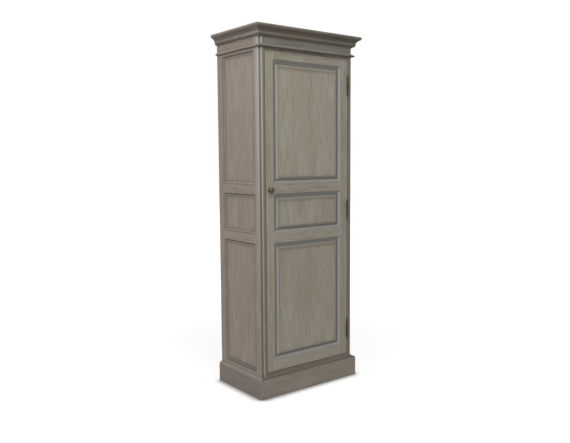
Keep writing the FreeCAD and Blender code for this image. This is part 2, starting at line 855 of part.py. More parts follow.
def wall_holes(rail_body, height):
    """Countersunk holes through a rear rail, for the screws that hold the cabinet to a wall."""
    circles = [(f"{side} * wall_hole_spacing / 2", height, "wall_hole_radius") for side in (LEFT, RIGHT)]
    sketch = outline(rail_body, "XZ_Plane", circles=circles)
    doc.recompute()
    feature = rail_body.newObject("PartDesign::Hole", "Wall_holes")
    feature.Profile = sketch
    feature.DepthType = "ThroughAll"
    feature.setExpression("Diameter", bound("2 * wall_hole_radius"))
    feature.HoleCutType = "Countersink"
    feature.HoleCutCustomValues = True
    feature.setExpression("HoleCutDiameter", bound("2 * wall_hole_countersink"))
    feature.HoleCutCountersinkAngle = 90


def case_frame():
    for side, name in ((LEFT, "left"), (RIGHT, "right")):
        front_post(f"{name}_front_post", side)
        rear_post(f"{name}_rear_post", side)
        for label, (base, face, lower, upper) in SIDE_RAILS.items():
            piece = rail(f"{name}_{label}", "side", face, lower, upper)
            keep(piece, f"{side} * half", "side_middle", base, angle=90 * side)
        for label, (low, high) in zip(("lower", "middle", "upper"), openings_between(SIDE_RAILS)):
            side_panel(f"{name}_{label}_side_panel", side, low, high)
    for name, (low, high) in CASE_RAILS.items():
        keep(case_rail(f"front_{name}_rail", low, high), "0", "front", low)
    for name, (low, high) in REAR_RAILS.items():
        piece = case_rail(f"rear_{name}_rail", low, high)
        if name == "top":
            wall_holes(piece, f"wall_hole_height - ({low})")
        keep(piece, "0", "back_face - case_rail_thickness", low)


def side_panel(label, side, low, high):
    """A flat panel in the grooves of one side, between two flat edges above the floor."""
    reach = "side_sticking - side_groove_depth + panel_play"
    near = f"{side} * (half - side_groove_front - panel_fit)"
    far = f"{side} * (half - side_groove_front - panel_fit - side_panel)"
    across = (near, far) if side == LEFT else (far, near)
    pieces.append(box_between(label, across,
                              (f"side_front_edge + {reach}", f"side_back_edge - ({reach})"),
                              (f"{low} + {reach}", f"{high} - ({reach})")))


# --------------------------------------------------------------------------
# Mouldings: plinth, astragal and cornice, mitred at the front corners
# --------------------------------------------------------------------------

def mitre(corner, direction, overhang):
    """The wood past a 45 degree mitre that starts at a corner of the case."""
    near = f"{corner} - {direction} * {PAST}"
    far = f"{corner} + {direction} * ({overhang} + {PAST})"
    return [(near, f"{PAST}"), (far, f"-({overhang} + {PAST})"), (far, f"{PAST}")]


def moulding(name, corners, overhang, base):
    """A front length and two side returns of one section, given as (outward, height)."""
    section = laid(corners, lambda outward, height: (f"-({outward})", height), True)
    for label, lift, length, mitres, place, angle in (
            ("front", "0", f"body_width + 2 * {overhang}", (("half", 1), ("-half", -1)), "0", 0),
            ("left", "-body_depth", f"body_depth + {overhang}", (("0", 1),), "-half", -90),
            ("right", f"-{overhang}", f"body_depth + {overhang}", (("0", -1),), "half", 90)):
        body = new_body(f"{name}_{label}")
        pad(body, outline(body, "YZ_Plane", [section], lift=lift), length, centred=label == "front")
        pocket(body, outline(body, "XY_Plane", [mitre(*end, overhang) for end in mitres]))
        keep(body, place, "front", base, angle=angle)


def mouldings():
    cap = "plinth_height - plinth_lip - plinth_cove"
    inner = "plinth_overhang - plinth_round - plinth_cove"
    moulding("plinth", [
        ("0", "0"),
        ("plinth_overhang", "0"),
        ("plinth_overhang", f"{cap} - plinth_round", "plinth_round", 1),
        ("plinth_overhang - plinth_round", cap, "plinth_cove", -1),
        (inner, "plinth_height - plinth_lip"),
        (inner, "plinth_height"),
        ("0", "plinth_height"),
    ], "plinth_overhang", "0")
    brow = "astragal_overhang - astragal_bead"
    moulding("astragal", [
        ("0", "0"),
        (brow, "0", "astragal_bead", 1),
        ("astragal_overhang", "astragal_bead", "astragal_bead", 1),
        (brow, "2 * astragal_bead", "astragal_cove", -1),
        (f"{brow} - astragal_cove", "astragal_height"),
        ("0", "astragal_height"),
    ], "astragal_overhang", "astragal_base")
    moulding("cornice", [
        ("0", "0"),
        ("cornice_foot", "0"),
        ("cornice_foot", "cornice_foot_height", "cornice_ovolo", 1),
        ("cornice_neck_out", "cornice_foot_height + cornice_ovolo"),
        ("cornice_neck_out", "cornice_neck_top", "cornice_cove", -1),
        ("cornice_roll_out - cornice_step", "cornice_roll_base - cornice_fillet"),
        ("cornice_roll_out", "cornice_roll_base - cornice_fillet"),
        ("cornice_roll_out", "cornice_roll_base", "cornice_nose", 1),
        ("cornice_overhang", "cornice_roll_top", "cornice_brow", 1),
        ("cornice_overhang - cornice_brow", "cornice_height"),
        ("0", "cornice_height"),
    ], "cornice_overhang", "cornice_base")


# --------------------------------------------------------------------------
# Inside: floor, top, shelves, back
# --------------------------------------------------------------------------

def notched_board(label, thickness, base, front_edge):
    """A board fitted round the four posts and up to the side rails."""
    body = new_body(label)
    right = [
        ("opening_half", front_edge),
        ("opening_half", "front_post_back"),
        ("inner_half", "front_post_back"),
        ("inner_half", "rear_post_front"),
        ("opening_half", "rear_post_front"),
        ("opening_half", "back_face"),
    ]
    left = [(f"-{across}", up) for across, up in reversed(right)]
    pad(body, outline(body, "XY_Plane", [right + left]), thickness)
    keep(body, "0", "0", base)


def adjustable_shelf(label, base):
    """A loose shelf between the posts, with a rounded front edge."""
    body = new_body(label)
    section = [
        ("shelf_front", "shelf_nose", "shelf_nose", 1),
        ("shelf_front + shelf_nose", "0"),
        ("shelf_rear", "0"),
        ("shelf_rear", "shelf_board"),
        ("shelf_front + shelf_nose", "shelf_board", "shelf_nose", 1),
        ("shelf_front", "shelf_board - shelf_nose"),
    ]
    pad(body, outline(body, "YZ_Plane", [section]), "2 * (opening_half - shelf_play)", centred=True)
    keep(body, "0", "0", base)


def shelf_pins():
    """Pins with a flat seat under each adjustable shelf, one in every post."""
    shank = doc.addObject("Part::Cylinder", "Shank")
    shank.setExpression("Radius", bound("shelf_pin_radius"))
    shank.setExpression("Height", bound("shelf_pin_depth + 1"))
    put(shank, "-shelf_pin_depth", axis=Vector(0, 1, 0), angle=90)
    seat = box_between("Seat", ("0", "shelf_pin_seat"), ("-1.6 * shelf_pin_radius", "1.6 * shelf_pin_radius"),
                       ("-shelf_pin_radius", "shelf_pin_radius"))
    pin = doc.addObject("Part::Fuse", "shelf_pin")
    pin.Base, pin.Tool = shank, seat
    pins = []
    for base in SHELVES.values():
        for row in ("pin_front_row", "pin_rear_row"):
            for side, angle in ((LEFT, 0), (RIGHT, 180)):
                place = (f"{side} * opening_half", row, f"{base} - shelf_pin_radius")
                pins.append(copy_of(pin, *place, angle=angle))
    grouped("shelf_pins", pins)


BACK_BOARDS = 5


def back_boards():
    """Tongued boards with chamfered joints, in the rebates of the rear posts."""
    pitch = f"2 * (opening_half + back_rebate) / {BACK_BOARDS}"
    tongue_low = "(back_board - back_tongue_width) / 2"
    tongue_high = "(back_board + back_tongue_width) / 2"
    boards = []
    for number in range(BACK_BOARDS):
        left = f"{number} * {pitch} - opening_half - back_rebate"
        right = f"{number + 1} * {pitch} - opening_half - back_rebate"
        board = new_body("back_board_" + str(number + 1))
        if number < BACK_BOARDS - 1:
            edge = f"{right} - back_joint"
            right_side = [
                (f"{edge} - back_chamfer", "0"),
                (edge, "back_chamfer"),
                (edge, tongue_low),
                (f"{edge} + back_tongue", tongue_low),
                (f"{edge} + back_tongue", tongue_high),
                (edge, tongue_high),
                (edge, "back_board"),
            ]
        else:
            right_side = [(right, "0"), (right, "back_board")]
        if number:
            groove = f"{left} + back_tongue"
            left_side = [
                (left, "back_board"),
                (left, f"{tongue_high} + panel_fit"),
                (groove, f"{tongue_high} + panel_fit"),
                (groove, f"{tongue_low} - panel_fit"),
                (left, f"{tongue_low} - panel_fit"),
                (left, "back_chamfer"),
                (f"{left} + back_chamfer", "0"),
            ]
        else:
            left_side = [(left, "back_board"), (left, "0")]
        pad(board, outline(board, "XY_Plane", [right_side + left_side]), "case_top - case_rail_base")
        boards.append(put(board, "0", "back_face", "case_rail_base"))
    grouped("back_boards", boards)


def plinth_blocks():
    """Glue blocks that carry the bottom rails to the floor behind the plinth."""
    blocks = []
    for side, name in ((LEFT, "left"), (RIGHT, "right")):
        middle = f"{side} * block_offset"
        blocks.append(box_between(f"front_block_{name}",
                                  (f"{middle} - block_length / 2", f"{middle} + block_length / 2"),
                                  ("front", "front + case_rail_thickness"), ("0", "case_rail_base")))
        across = (f"{side} * inner_half", f"{side} * half") if side == RIGHT else ("-half", "-inner_half")
        blocks.append(box_between(f"side_block_{name}", across,
                                  ("side_middle - block_length / 2", "side_middle + block_length / 2"),
                                  ("0", "case_rail_base")))
    grouped("plinth_blocks", blocks)


def inside():
    notched_board("floor_board", "floor_board", "opening_bottom - floor_board", "front + case_rail_thickness")
    notched_board("fixed_shelf", "fixed_shelf", "fixed_shelf_base", "door_back + 3")
    pieces.append(box_between("top_board", ("-half", "half"), ("front", "back"),
                              ("case_top", "overall_height")))
    for label, base in SHELVES.items():
        adjustable_shelf(label, base)
    shelf_pins()
    back_boards()
    plinth_blocks()


# --------------------------------------------------------------------------
# Build, check and write
# --------------------------------------------------------------------------

def check_document():
    """Stop on a failed feature, a cut that cut nothing, or a sub-part that isn't a valid solid."""
    for item in doc.Objects:
        if "Invalid" in item.State or "Error" in item.State:
            raise RuntimeError(f"{item.Name} ({item.Label}) failed: {item.State}")
        if item.TypeId in ("PartDesign::Pocket", "PartDesign::Hole"):
            if item.Shape.Volume > item.BaseFeature.Shape.Volume - 0.01:
                raise RuntimeError(f"{item.Name} cuts nothing")
    for piece in pieces:
        if piece.Shape.isNull() or not piece.Shape.isValid() or not piece.Shape.Solids:
            raise RuntimeError(f"{piece.Label} has no valid solid")


def main():
    case_frame()
    mouldings()
    inside()
    door()
    hinges()
    knob()
    catch()
    doc.recompute()
    check_document()
    for piece in pieces:
        piece.Shape.exportStep(f"parts/{piece.Label}.step")
    print(f"{len(pieces)} sub-parts, {sum(len(piece.Shape.Solids) for piece in pieces)} solids")


main()
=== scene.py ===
import functools
import math

import bmesh
import bpy
from mathutils import Matrix, Vector


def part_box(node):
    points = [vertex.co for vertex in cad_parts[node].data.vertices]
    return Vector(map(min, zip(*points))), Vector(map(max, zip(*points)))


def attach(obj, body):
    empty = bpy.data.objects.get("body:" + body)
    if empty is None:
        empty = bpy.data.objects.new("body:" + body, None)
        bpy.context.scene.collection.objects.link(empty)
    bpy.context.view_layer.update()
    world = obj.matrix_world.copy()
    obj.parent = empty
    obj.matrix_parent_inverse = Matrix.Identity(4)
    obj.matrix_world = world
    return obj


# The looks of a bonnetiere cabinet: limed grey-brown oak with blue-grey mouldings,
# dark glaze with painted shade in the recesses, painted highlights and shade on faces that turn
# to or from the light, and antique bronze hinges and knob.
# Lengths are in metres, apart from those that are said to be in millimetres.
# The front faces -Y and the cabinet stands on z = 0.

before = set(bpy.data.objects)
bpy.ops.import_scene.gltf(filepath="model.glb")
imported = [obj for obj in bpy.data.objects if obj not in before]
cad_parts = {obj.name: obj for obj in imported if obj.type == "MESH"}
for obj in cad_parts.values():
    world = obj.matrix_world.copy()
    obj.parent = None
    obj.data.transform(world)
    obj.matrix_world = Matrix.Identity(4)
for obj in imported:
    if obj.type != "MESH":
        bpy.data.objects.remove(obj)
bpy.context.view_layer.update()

MM = 0.001
LEFT, RIGHT = -1, 1
DOWN, UP = -1, 1
ALONG_X, ALONG_Y, ALONG_Z = 0, 1, 2


def low(node):
    """The corner of a node's box with the lowest x, y and z."""
    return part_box(node)[0]


def high(node):
    """The corner of a node's box with the highest x, y and z."""
    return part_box(node)[1]


def middle(node):
    return (low(node) + high(node)) / 2


def linear(share):
    """A screen level, as a share of white, the way the shaders take it."""
    if share <= 0.04045:
        return share / 12.92
    return ((share + 0.055) / 1.055) ** 2.4


def srgb(*levels):
    """A colour from its 0 to 255 screen levels."""
    return (*(linear(level / 255) for level in levels), 1)


# Places that the frame gives.
FRONT = low("door_lock_stile").y
HALF_WIDTH = high("right_front_post").x
ASTRAGAL_FOOT = low("astragal_front").z
PLINTH_TOP = high("plinth_front").z


# --------------------------------------------------------------------------
# The finish
# --------------------------------------------------------------------------

# Colours. Those of the oak are its body, its dark streaks and its pale ones.
OAK = (srgb(142, 135, 121), srgb(122, 114, 99), srgb(152, 146, 134))
SHADED_OAK = (srgb(135, 128, 114), srgb(109, 101, 86), srgb(147, 141, 129))
SIDE_OAK = (srgb(145, 132, 121), srgb(126, 111, 99), srgb(156, 145, 136))
# The front's cornice, astragal, top and rails: a dark stain, made darker than the sides' RETURN_OAK as
# painted shade.
DARK_SHADED_OAK = (srgb(101, 94, 82), srgb(75, 67, 56), srgb(118, 112, 101))
RETURN_OAK = (srgb(138, 124, 114), srgb(108, 93, 83), srgb(156, 144, 136))
PLINTH_OAK = (srgb(126, 116, 104), srgb(110, 99, 87), srgb(136, 128, 118))
PLINTH_RETURN_OAK = (srgb(122, 110, 103), srgb(106, 94, 88), srgb(132, 122, 116))
INNER_OAK = (srgb(166, 152, 132), srgb(147, 131, 110), srgb(184, 172, 155))
BLUE_GREY = srgb(122, 122, 118)
# A pale blue-grey laid as painted highlights on slopes that face the light and on the posts' arrises.
HIGHLIGHT_BLUE = srgb(166, 169, 170)
# Pale dry brush on worn edges, also laid as painted light on the posts and the sides' plinth cap.
DRY_BRUSH_AND_HIGHLIGHT = srgb(164, 162, 158)
UMBER = srgb(126, 112, 92)
# A dark brown laid along edges, and on the posts as painted shade beside the door's gap.
EDGE_DARKENING = srgb(96, 84, 70)
# Dark glaze: the dark of the back boards' joints, and elsewhere painted shade in recesses, under things
# and on faces turned from the light.
GLAZE_AND_SHADE = srgb(70, 63, 54)
BRONZE = srgb(70, 60, 46)
BRONZE_WORN = srgb(176, 156, 124)
STEEL = srgb(172, 170, 166)
STEEL_DULL = srgb(120, 117, 112)
PLASTIC = srgb(72, 56, 45)
PLASTIC_WORN = srgb(90, 72, 58)

# The smoothest and roughest that each surface gets, and the depth of its relief, of which the
# oak's lines of grain and its pores take these shares.
OAK_ROUGHNESS = (0.56, 0.81)
OAK_RELIEF = 0.0002
LINE_RISE, PORE_SINK = 0.6, 0.5
BRONZE_ROUGHNESS = (0.22, 0.47)
BRONZE_RELIEF = 0.00008
STEEL_ROUGHNESS = (0.28, 0.48)
STEEL_RELIEF = 0.00005
PLASTIC_ROUGHNESS = (0.42, 0.57)
PLASTIC_RELIEF = 0.00006

# Each board's grain is moved by up to this much along x, y and z, and its tone lies in this range.
BOARD_SHIFT = (7, 5, 3)
BOARD_TONE = (0.95, 1.05)

# In the ranges of two values from here on, a colour starts at the first and is full at the second.
# Those of three are the two ends of a band and how soft they are.

# How far a surface's direction leans along an axis, from -1 to 1.
LEANING = (0.03, 0.3)
FACING_FRONT = (-0.35, -0.6)
FACING_LEFT = (-0.15, -0.5)
FACING_UP = (0.15, 0.6)
FACING_DOWN = (-0.05, -0.4)

# How closed in a place is, and how near to an edge whose worn stretch has this reach.
CLOSED_IN = (0.25, 0.8)
NEAR_EDGE = (0.08, 0.4)
WORN_REACH = 0.003

# Where the grain's noise makes pores, and where its lines hold paint and painted highlights.
PORES = (0.57, 0.68)
PAINT_HOLD = (0.25, 0.5)
HIGHLIGHT_HOLD = (0.25, 0.55)

# How much of the painted highlight stays on slopes that face up.
UPWARD_HIGHLIGHT = 0.2

# Depths in millimetres behind the door's front.
STICKING_PAINT = 0.8
STICKING_FOOT = 8
FIELD_SINK = 3
FIELD_STEP = 2
# The field's step takes glaze and painted shade.
STEP_GLAZE_AND_SHADE = (FIELD_SINK + 0.4, FIELD_SINK + FIELD_STEP + 0.4, 0.3)
BEVEL_PAINT = 7.6
BEVEL_FOOT = 10.6

# Millimetres past a moulding's foot: where its paint ends, how soft that is, and its line of glaze and
# painted shade.
PAINT_END = 4
PAINT_SOFT = 0.4
FOOT_LINE = (-1.5, 0.5)

# Millimetres in from the edges of a panel, of which the first ones lie in its groove.
FIELD_INSET = 28.5
BEVEL_WIDTH = 18
# How far up a bevel that faces down its painted shade reaches.
BEVEL_FOOT_SHADE = (10, 5)
SIDE_PANEL_INSET = 8.5

# Millimetres from an edge over which its darkening fades, and by which its border's wandering adds to
# them.
DARKENING_FADE = (36, 12)
DARKENING_RAGGED = 24

# Millimetres in from the outer face of a side.
SIDE_STICKING_FOOT = 7
# The band of the side's sticking that takes glaze and painted shade.
SIDE_GLAZE_AND_SHADE = (1, SIDE_STICKING_FOOT - 1, 0.5)

# Millimetres on a post: behind the front, from its coved corner, and in from its outer face.
FRONT_FACE = (0.6, 0.2)
MOULDING_START = (30, 32)
POST_COVE = 10
# Where the cove takes painted shade, the arris a painted highlight, the front its paler dry brush, and
# the front by the door painted shade.
COVE_SHADE = (POST_COVE + 0.5, POST_COVE + 0.1)
POST_ARRIS = (POST_COVE + 0.2, POST_COVE + 3, 0.3)
POST_PALE = (POST_COVE + 45, POST_COVE + 5)
POST_GAP_SHADE = (16, 28)
RIGHT_GAP_SHADE_SHIFT = 14

# Heights in metres at which the posts and their arrises grow paler as painted light, and the places
# across that part them.
PALER_HEIGHTS = (0.2, 1.9)
ARRIS_HEIGHTS = (0.9, 1.8)
RIGHT_HALF = (-0.1, 0.1)

# Millimetres above the astragal's foot and above the plinth's top.
# The side's frieze takes painted shade above the astragal's foot, and a band above the plinth takes glaze
# and painted shade.
SIDE_FRIEZE = (0, 2)
FRONT_FRIEZE = (10, 20)
SIDE_FOOT_GLAZE_AND_SHADE = (20, 42, 4)
PLINTH_CAP = (-20, -16)

# The back's boards, and how far from its middle a board's joint starts, as a share of its width.
BACK_BOARDS = 5
BOARD_JOINT = (0.47, 0.5)


# --------------------------------------------------------------------------
# Materials
# --------------------------------------------------------------------------

# The colour sockets of a Mix node, and the rays that an ambient occlusion node sends from a point.
MIX_UNDER, MIX_OVER, MIX_RESULT = 6, 7, 2
AO_SAMPLES = 8


class Paint:
    """One material in the making. Its methods add nodes, and most of them return an output."""

    def __init__(self, name, colour):
        self.material = bpy.data.materials.new(name)
        self.material.use_nodes = True
        self.tree = self.material.node_tree
        self.shader = self.tree.nodes["Principled BSDF"]
        self.colour = colour
        own_frame = self.add("ShaderNodeTexCoord").outputs
        self.here = own_frame["Object"]
        self.x, self.y, self.z = self.add("ShaderNodeSeparateXYZ", self.here).outputs
        self.facing = self.add("ShaderNodeSeparateXYZ", own_frame["Normal"]).outputs

    def feed(self, socket, value):
        if isinstance(value, bpy.types.NodeSocket):
            self.tree.links.new(value, socket)
        else:
            socket.default_value = value

    def add(self, kind, *values, **settings):
        """A node with its first inputs and its settings filled in."""
        node = self.tree.nodes.new(kind)
        for name, setting in settings.items():
            setattr(node, name, setting)
        for socket, value in zip(node.inputs, values):
            self.feed(socket, value)
        return node

    def math(self, operation, *values):
        return self.add("ShaderNodeMath", *values, operation=operation).outputs[0]

    def part(self, share, amount):
        return self.math("MULTIPLY", share, amount)

    def between(self, share, least, most):
        """A value between least and most, by its share."""
        return self.math("ADD", least, self.part(share, most - least))

    def past(self, value, start):
        """Millimetres from a start to a place, both in metres."""
        return self.part(self.math("SUBTRACT", value, start), 1 / MM)

    def inside_of(self, value, end):
        """Millimetres inside of a symmetrical end, from a place in metres."""
        return self.part(self.math("SUBTRACT", end, self.math("ABSOLUTE", value)), 1 / MM)

    def rise(self, value, start, full):
        """A smooth 0 to 1 as the value goes from start to full."""
        return self.add("ShaderNodeMapRange", value, start, full, 0.0, 1.0,
                        interpolation_type="SMOOTHSTEP").outputs[0]

    def band(self, value, start, end, soft):
        """1 between start and end, with soft edges, and 0 outside."""
        into = self.rise(value, start - soft, start + soft)
        out = self.rise(value, end + soft, end - soft)
        return self.part(into, out)

    def turned(self, axis, side):
        """How far a surface leans to one side of an axis."""
        start, full = LEANING
        return self.rise(self.facing[axis], side * start, side * full)

    def scaled(self, place, scale):
        node = self.add("ShaderNodeMapping", place)
        node.inputs["Scale"].default_value = scale
        return node.outputs[0]

    def noise(self, place, size, detail=3.0, roughness=0.5, distortion=0.0):
        """Cloudy noise whose spots are about the given size across."""
        node = self.add("ShaderNodeTexNoise")
        self.feed(node.inputs["Vector"], place)
        node.inputs["Scale"].default_value = 0.5 / size
        node.inputs["Detail"].default_value = detail
        node.inputs["Roughness"].default_value = roughness
        node.inputs["Distortion"].default_value = distortion
        return node.outputs["Fac"]

    def mix(self, share, under, over, blend="MIX"):
        node = self.add("ShaderNodeMix", data_type="RGBA", blend_type=blend)
        self.feed(node.inputs["Factor"], share)
        self.feed(node.inputs[MIX_UNDER], under)
        self.feed(node.inputs[MIX_OVER], over)
        return node.outputs[MIX_RESULT]

    def grey(self, level):
        return self.add("ShaderNodeCombineColor", level, level, level).outputs[0]

    def lay(self, share, over, strength=1.0):
        """Lay another colour over what is there."""
        self.colour = self.mix(self.part(share, strength), self.colour, over)

    def recess(self, reach, **settings):
        """How closed in a point is by what lies within reach of it."""
        node = self.add("ShaderNodeAmbientOcclusion", samples=AO_SAMPLES, **settings)
        node.inputs["Distance"].default_value = reach
        return self.math("SUBTRACT", 1.0, node.outputs["AO"])

    def arris(self, reach):
        """How near a point is to an outer edge of its own piece."""
        return self.recess(reach, inside=True, only_local=True)

    def edge(self, node, inset, axes):
        """Millimetres in from the nearest edge of a node's box along some axes, less an inset."""
        places = (self.x, self.y, self.z)
        gaps = []
        for axis in axes:
            gaps.append(self.past(places[axis], low(node)[axis]))
            gaps.append(self.past(high(node)[axis], places[axis]))
        nearest = functools.reduce(functools.partial(self.math, "MINIMUM"), gaps)
        return self.math("SUBTRACT", nearest, inset)

    def finish(self, roughness):
        """The material in its last colour."""
        self.feed(self.shader.inputs["Base Color"], self.colour)
        self.feed(self.shader.inputs["Roughness"], roughness)
        return self.material

    def carve(self, height, relief):
        """A fine relief, which only turns the light."""
        bump = self.add("ShaderNodeBump")
        bump.inputs["Distance"].default_value = relief
        self.feed(bump.inputs["Height"], height)
        self.feed(self.shader.inputs["Normal"], bump.outputs[0])


class Oak(Paint):
    """Oak with its grain along one axis, in a finish of three tones."""

    def __init__(self, name, grain, tones=OAK):
        body, streak, pale = tones
        super().__init__(name, body)
        own = self.add("ShaderNodeObjectInfo").outputs["Random"]
        shift = self.add("ShaderNodeCombineXYZ", *(self.part(own, reach) for reach in BOARD_SHIFT))
        board = self.add("ShaderNodeVectorMath", self.here, shift.outputs[0]).outputs[0]

        def figure(stretch, size, **settings):
            """Noise that is drawn out along the grain."""
            scale = [1.0, 1.0, 1.0]
            scale[grain] = 1 / stretch
            return self.noise(self.scaled(board, scale), size, **settings)

        clouds = figure(stretch=2.5, size=0.045, detail=4, roughness=0.6)
        tint = figure(stretch=3, size=0.11, detail=4, roughness=0.6)
        wash = figure(stretch=9, size=0.018, detail=5, roughness=0.62, distortion=0.6)
        streaks = figure(stretch=12, size=0.0065, detail=5, roughness=0.72, distortion=0.6)
        self.lines = figure(stretch=40, size=0.0012, detail=4, roughness=0.65)
        self.pores = self.rise(figure(stretch=16, size=0.00035, detail=2), *PORES)

        for layer, start, full, over, strength in (
                (clouds, 0.45, 0.7, pale, 0.6),
                (tint, 0.46, 0.7, UMBER, 0.45),
                (wash, 0.5, 0.68, streak, 0.45),
                (streaks, 0.52, 0.62, streak, 0.65),
                (streaks, 0.45, 0.36, pale, 0.75),
                (self.lines, 0.54, 0.7, pale, 0.55),
                (self.lines, 0.44, 0.3, streak, 0.7)):
            self.lay(self.rise(layer, start, full), over, strength)
        self.lay(self.pores, streak, strength=0.4)
        tone = self.between(own, *BOARD_TONE)
        self.colour = self.mix(1.0, self.colour, self.grey(tone), "MULTIPLY")

    def moulded(self, depth, top, foot, strength):
        """Blue-grey paint from one depth of a moulding to its foot, and a line of glaze and painted shade
        there.
        """
        painted = self.band(depth, top, foot + PAINT_END, PAINT_SOFT)
        self.lay(self.part(painted, self.rise(self.lines, *PAINT_HOLD)), BLUE_GREY, strength)
        start, full = FOOT_LINE
        self.lay(self.rise(depth, foot + start, foot + full), GLAZE_AND_SHADE, strength=0.6)

    def brushed(self, depth, top, lime_and_highlight, under, away):
        """Painted highlights, in lime, on slopes below a depth that face left or up, and painted shade,
        in glaze, on what faces down or right.
        """
        slope = self.part(self.rise(self.facing["Y"], *FACING_FRONT), self.rise(depth, top - 1, top + 1))
        lit = self.math("MAXIMUM", self.part(self.turned("Z", UP), UPWARD_HIGHLIGHT), self.turned("X", LEFT))
        held = self.part(self.part(lit, slope), self.rise(self.lines, *HIGHLIGHT_HOLD))
        self.lay(held, HIGHLIGHT_BLUE, lime_and_highlight)
        painted_shade = self.math("MAXIMUM", self.part(self.turned("Z", DOWN), under),
                           self.part(self.turned("X", RIGHT), away))
        self.lay(painted_shade, GLAZE_AND_SHADE)

    def glaze_and_shade_recesses(self, reach=0.009, strength=0.6):
        """Dark glaze and painted shade left in corners and recesses."""
        self.lay(self.rise(self.recess(reach), *CLOSED_IN), GLAZE_AND_SHADE, strength)

    def painted_shade(self, strength):
        """Painted shade, in glaze, laid thick on faces turned down."""
        self.lay(self.rise(self.facing["Z"], *FACING_DOWN), GLAZE_AND_SHADE, strength)

    def darkened_edge(self, edge, strength):
        """A dark tone along an edge, fading inwards over a ragged border."""
        ragged = self.math("ADD", edge, self.part(self.noise(self.here, size=0.03, detail=4), DARKENING_RAGGED))
        self.lay(self.rise(ragged, *DARKENING_FADE), EDGE_DARKENING, strength)

    def worn(self, strength=0.3):
        """Outer edges brushed pale."""
        self.lay(self.rise(self.arris(WORN_REACH), *NEAR_EDGE), DRY_BRUSH_AND_HIGHLIGHT, strength)

    def done(self):
        """The material, with raised lines of grain and sunk pores."""
        height = self.math("SUBTRACT", self.part(self.lines, LINE_RISE), self.part(self.pores, PORE_SINK))
        self.carve(height, OAK_RELIEF)
        return self.finish(self.between(self.lines, *OAK_ROUGHNESS))


def door_frame_oak(name, grain, tones):
    """Oak for the door's stiles and rails: paint with painted highlights and shade on their inner edges,
    glaze and painted shade in recesses, and a dark tone along the door's top.
    """
    oak = Oak(name, grain, tones)
    depth = oak.past(oak.y, FRONT)
    oak.darkened_edge(oak.past(high("door_lock_stile").z, oak.z), strength=0.6)
    oak.moulded(depth, STICKING_PAINT, STICKING_FOOT, strength=0.8)
    oak.brushed(depth, STICKING_PAINT, lime_and_highlight=0.4, under=0.25, away=0.4)
    oak.glaze_and_shade_recesses()
    oak.worn()
    return oak.done()


def door_panel_oak(panel):
    """Oak for a raised panel: a dark tone round its field and along its top, glaze and painted shade on
    the step, and paint with painted highlights and shade on the bevel, whose foot takes painted shade
    where it faces down.
    """
    oak = Oak(f"{panel}_oak", ALONG_Z)
    depth = oak.past(oak.y, FRONT)
    turned_down = oak.turned("Z", DOWN)
    oak.darkened_edge(oak.edge(panel, FIELD_INSET, (ALONG_X, ALONG_Z)), strength=0.15)
    oak.darkened_edge(oak.past(high(panel).z - FIELD_INSET * MM, oak.z), strength=0.45)
    # A line of glaze and painted shade on the step, left off where it faces down.
    step = oak.part(oak.band(depth, *STEP_GLAZE_AND_SHADE), oak.math("SUBTRACT", 1.0, turned_down))
    oak.lay(step, GLAZE_AND_SHADE, strength=0.75)
    oak.moulded(depth, BEVEL_PAINT, BEVEL_FOOT, strength=0.7)
    oak.brushed(depth, BEVEL_PAINT, lime_and_highlight=0.5, under=0.0, away=0.3)
    up_the_bevel = oak.edge(panel, FIELD_INSET - BEVEL_WIDTH, (ALONG_X, ALONG_Z))
    # Painted shade on the foot of the bevel where it faces down.
    bevel_foot_shade = oak.part(oak.rise(up_the_bevel, *BEVEL_FOOT_SHADE), turned_down)
    oak.lay(bevel_foot_shade, GLAZE_AND_SHADE, strength=0.9)
    oak.glaze_and_shade_recesses()
    oak.worn()
    return oak.done()


def side_oak(name, grain, panel=None):
    """Oak for a framed side: glaze and painted shade in its mouldings and near the plinth, painted shade
    on faces turned down and on its frieze, and a dark tone along a panel's edges.
    """
    oak = Oak(name, grain, SIDE_OAK)
    if panel:
        oak.darkened_edge(oak.edge(panel, SIDE_PANEL_INSET, (ALONG_Y, ALONG_Z)), strength=0.4)
    oak.lay(oak.band(oak.inside_of(oak.x, HALF_WIDTH), *SIDE_GLAZE_AND_SHADE), GLAZE_AND_SHADE, strength=0.55)
    oak.painted_shade(strength=0.55)
    # Painted shade on the side's frieze, below the cornice.
    oak.lay(oak.rise(oak.past(oak.z, ASTRAGAL_FOOT), *SIDE_FRIEZE), GLAZE_AND_SHADE, strength=0.12)
    oak.lay(oak.band(oak.past(oak.z, PLINTH_TOP), *SIDE_FOOT_GLAZE_AND_SHADE), GLAZE_AND_SHADE, strength=0.55)
    oak.glaze_and_shade_recesses(reach=0.006)
    oak.worn(strength=0.45)
    return oak.done()


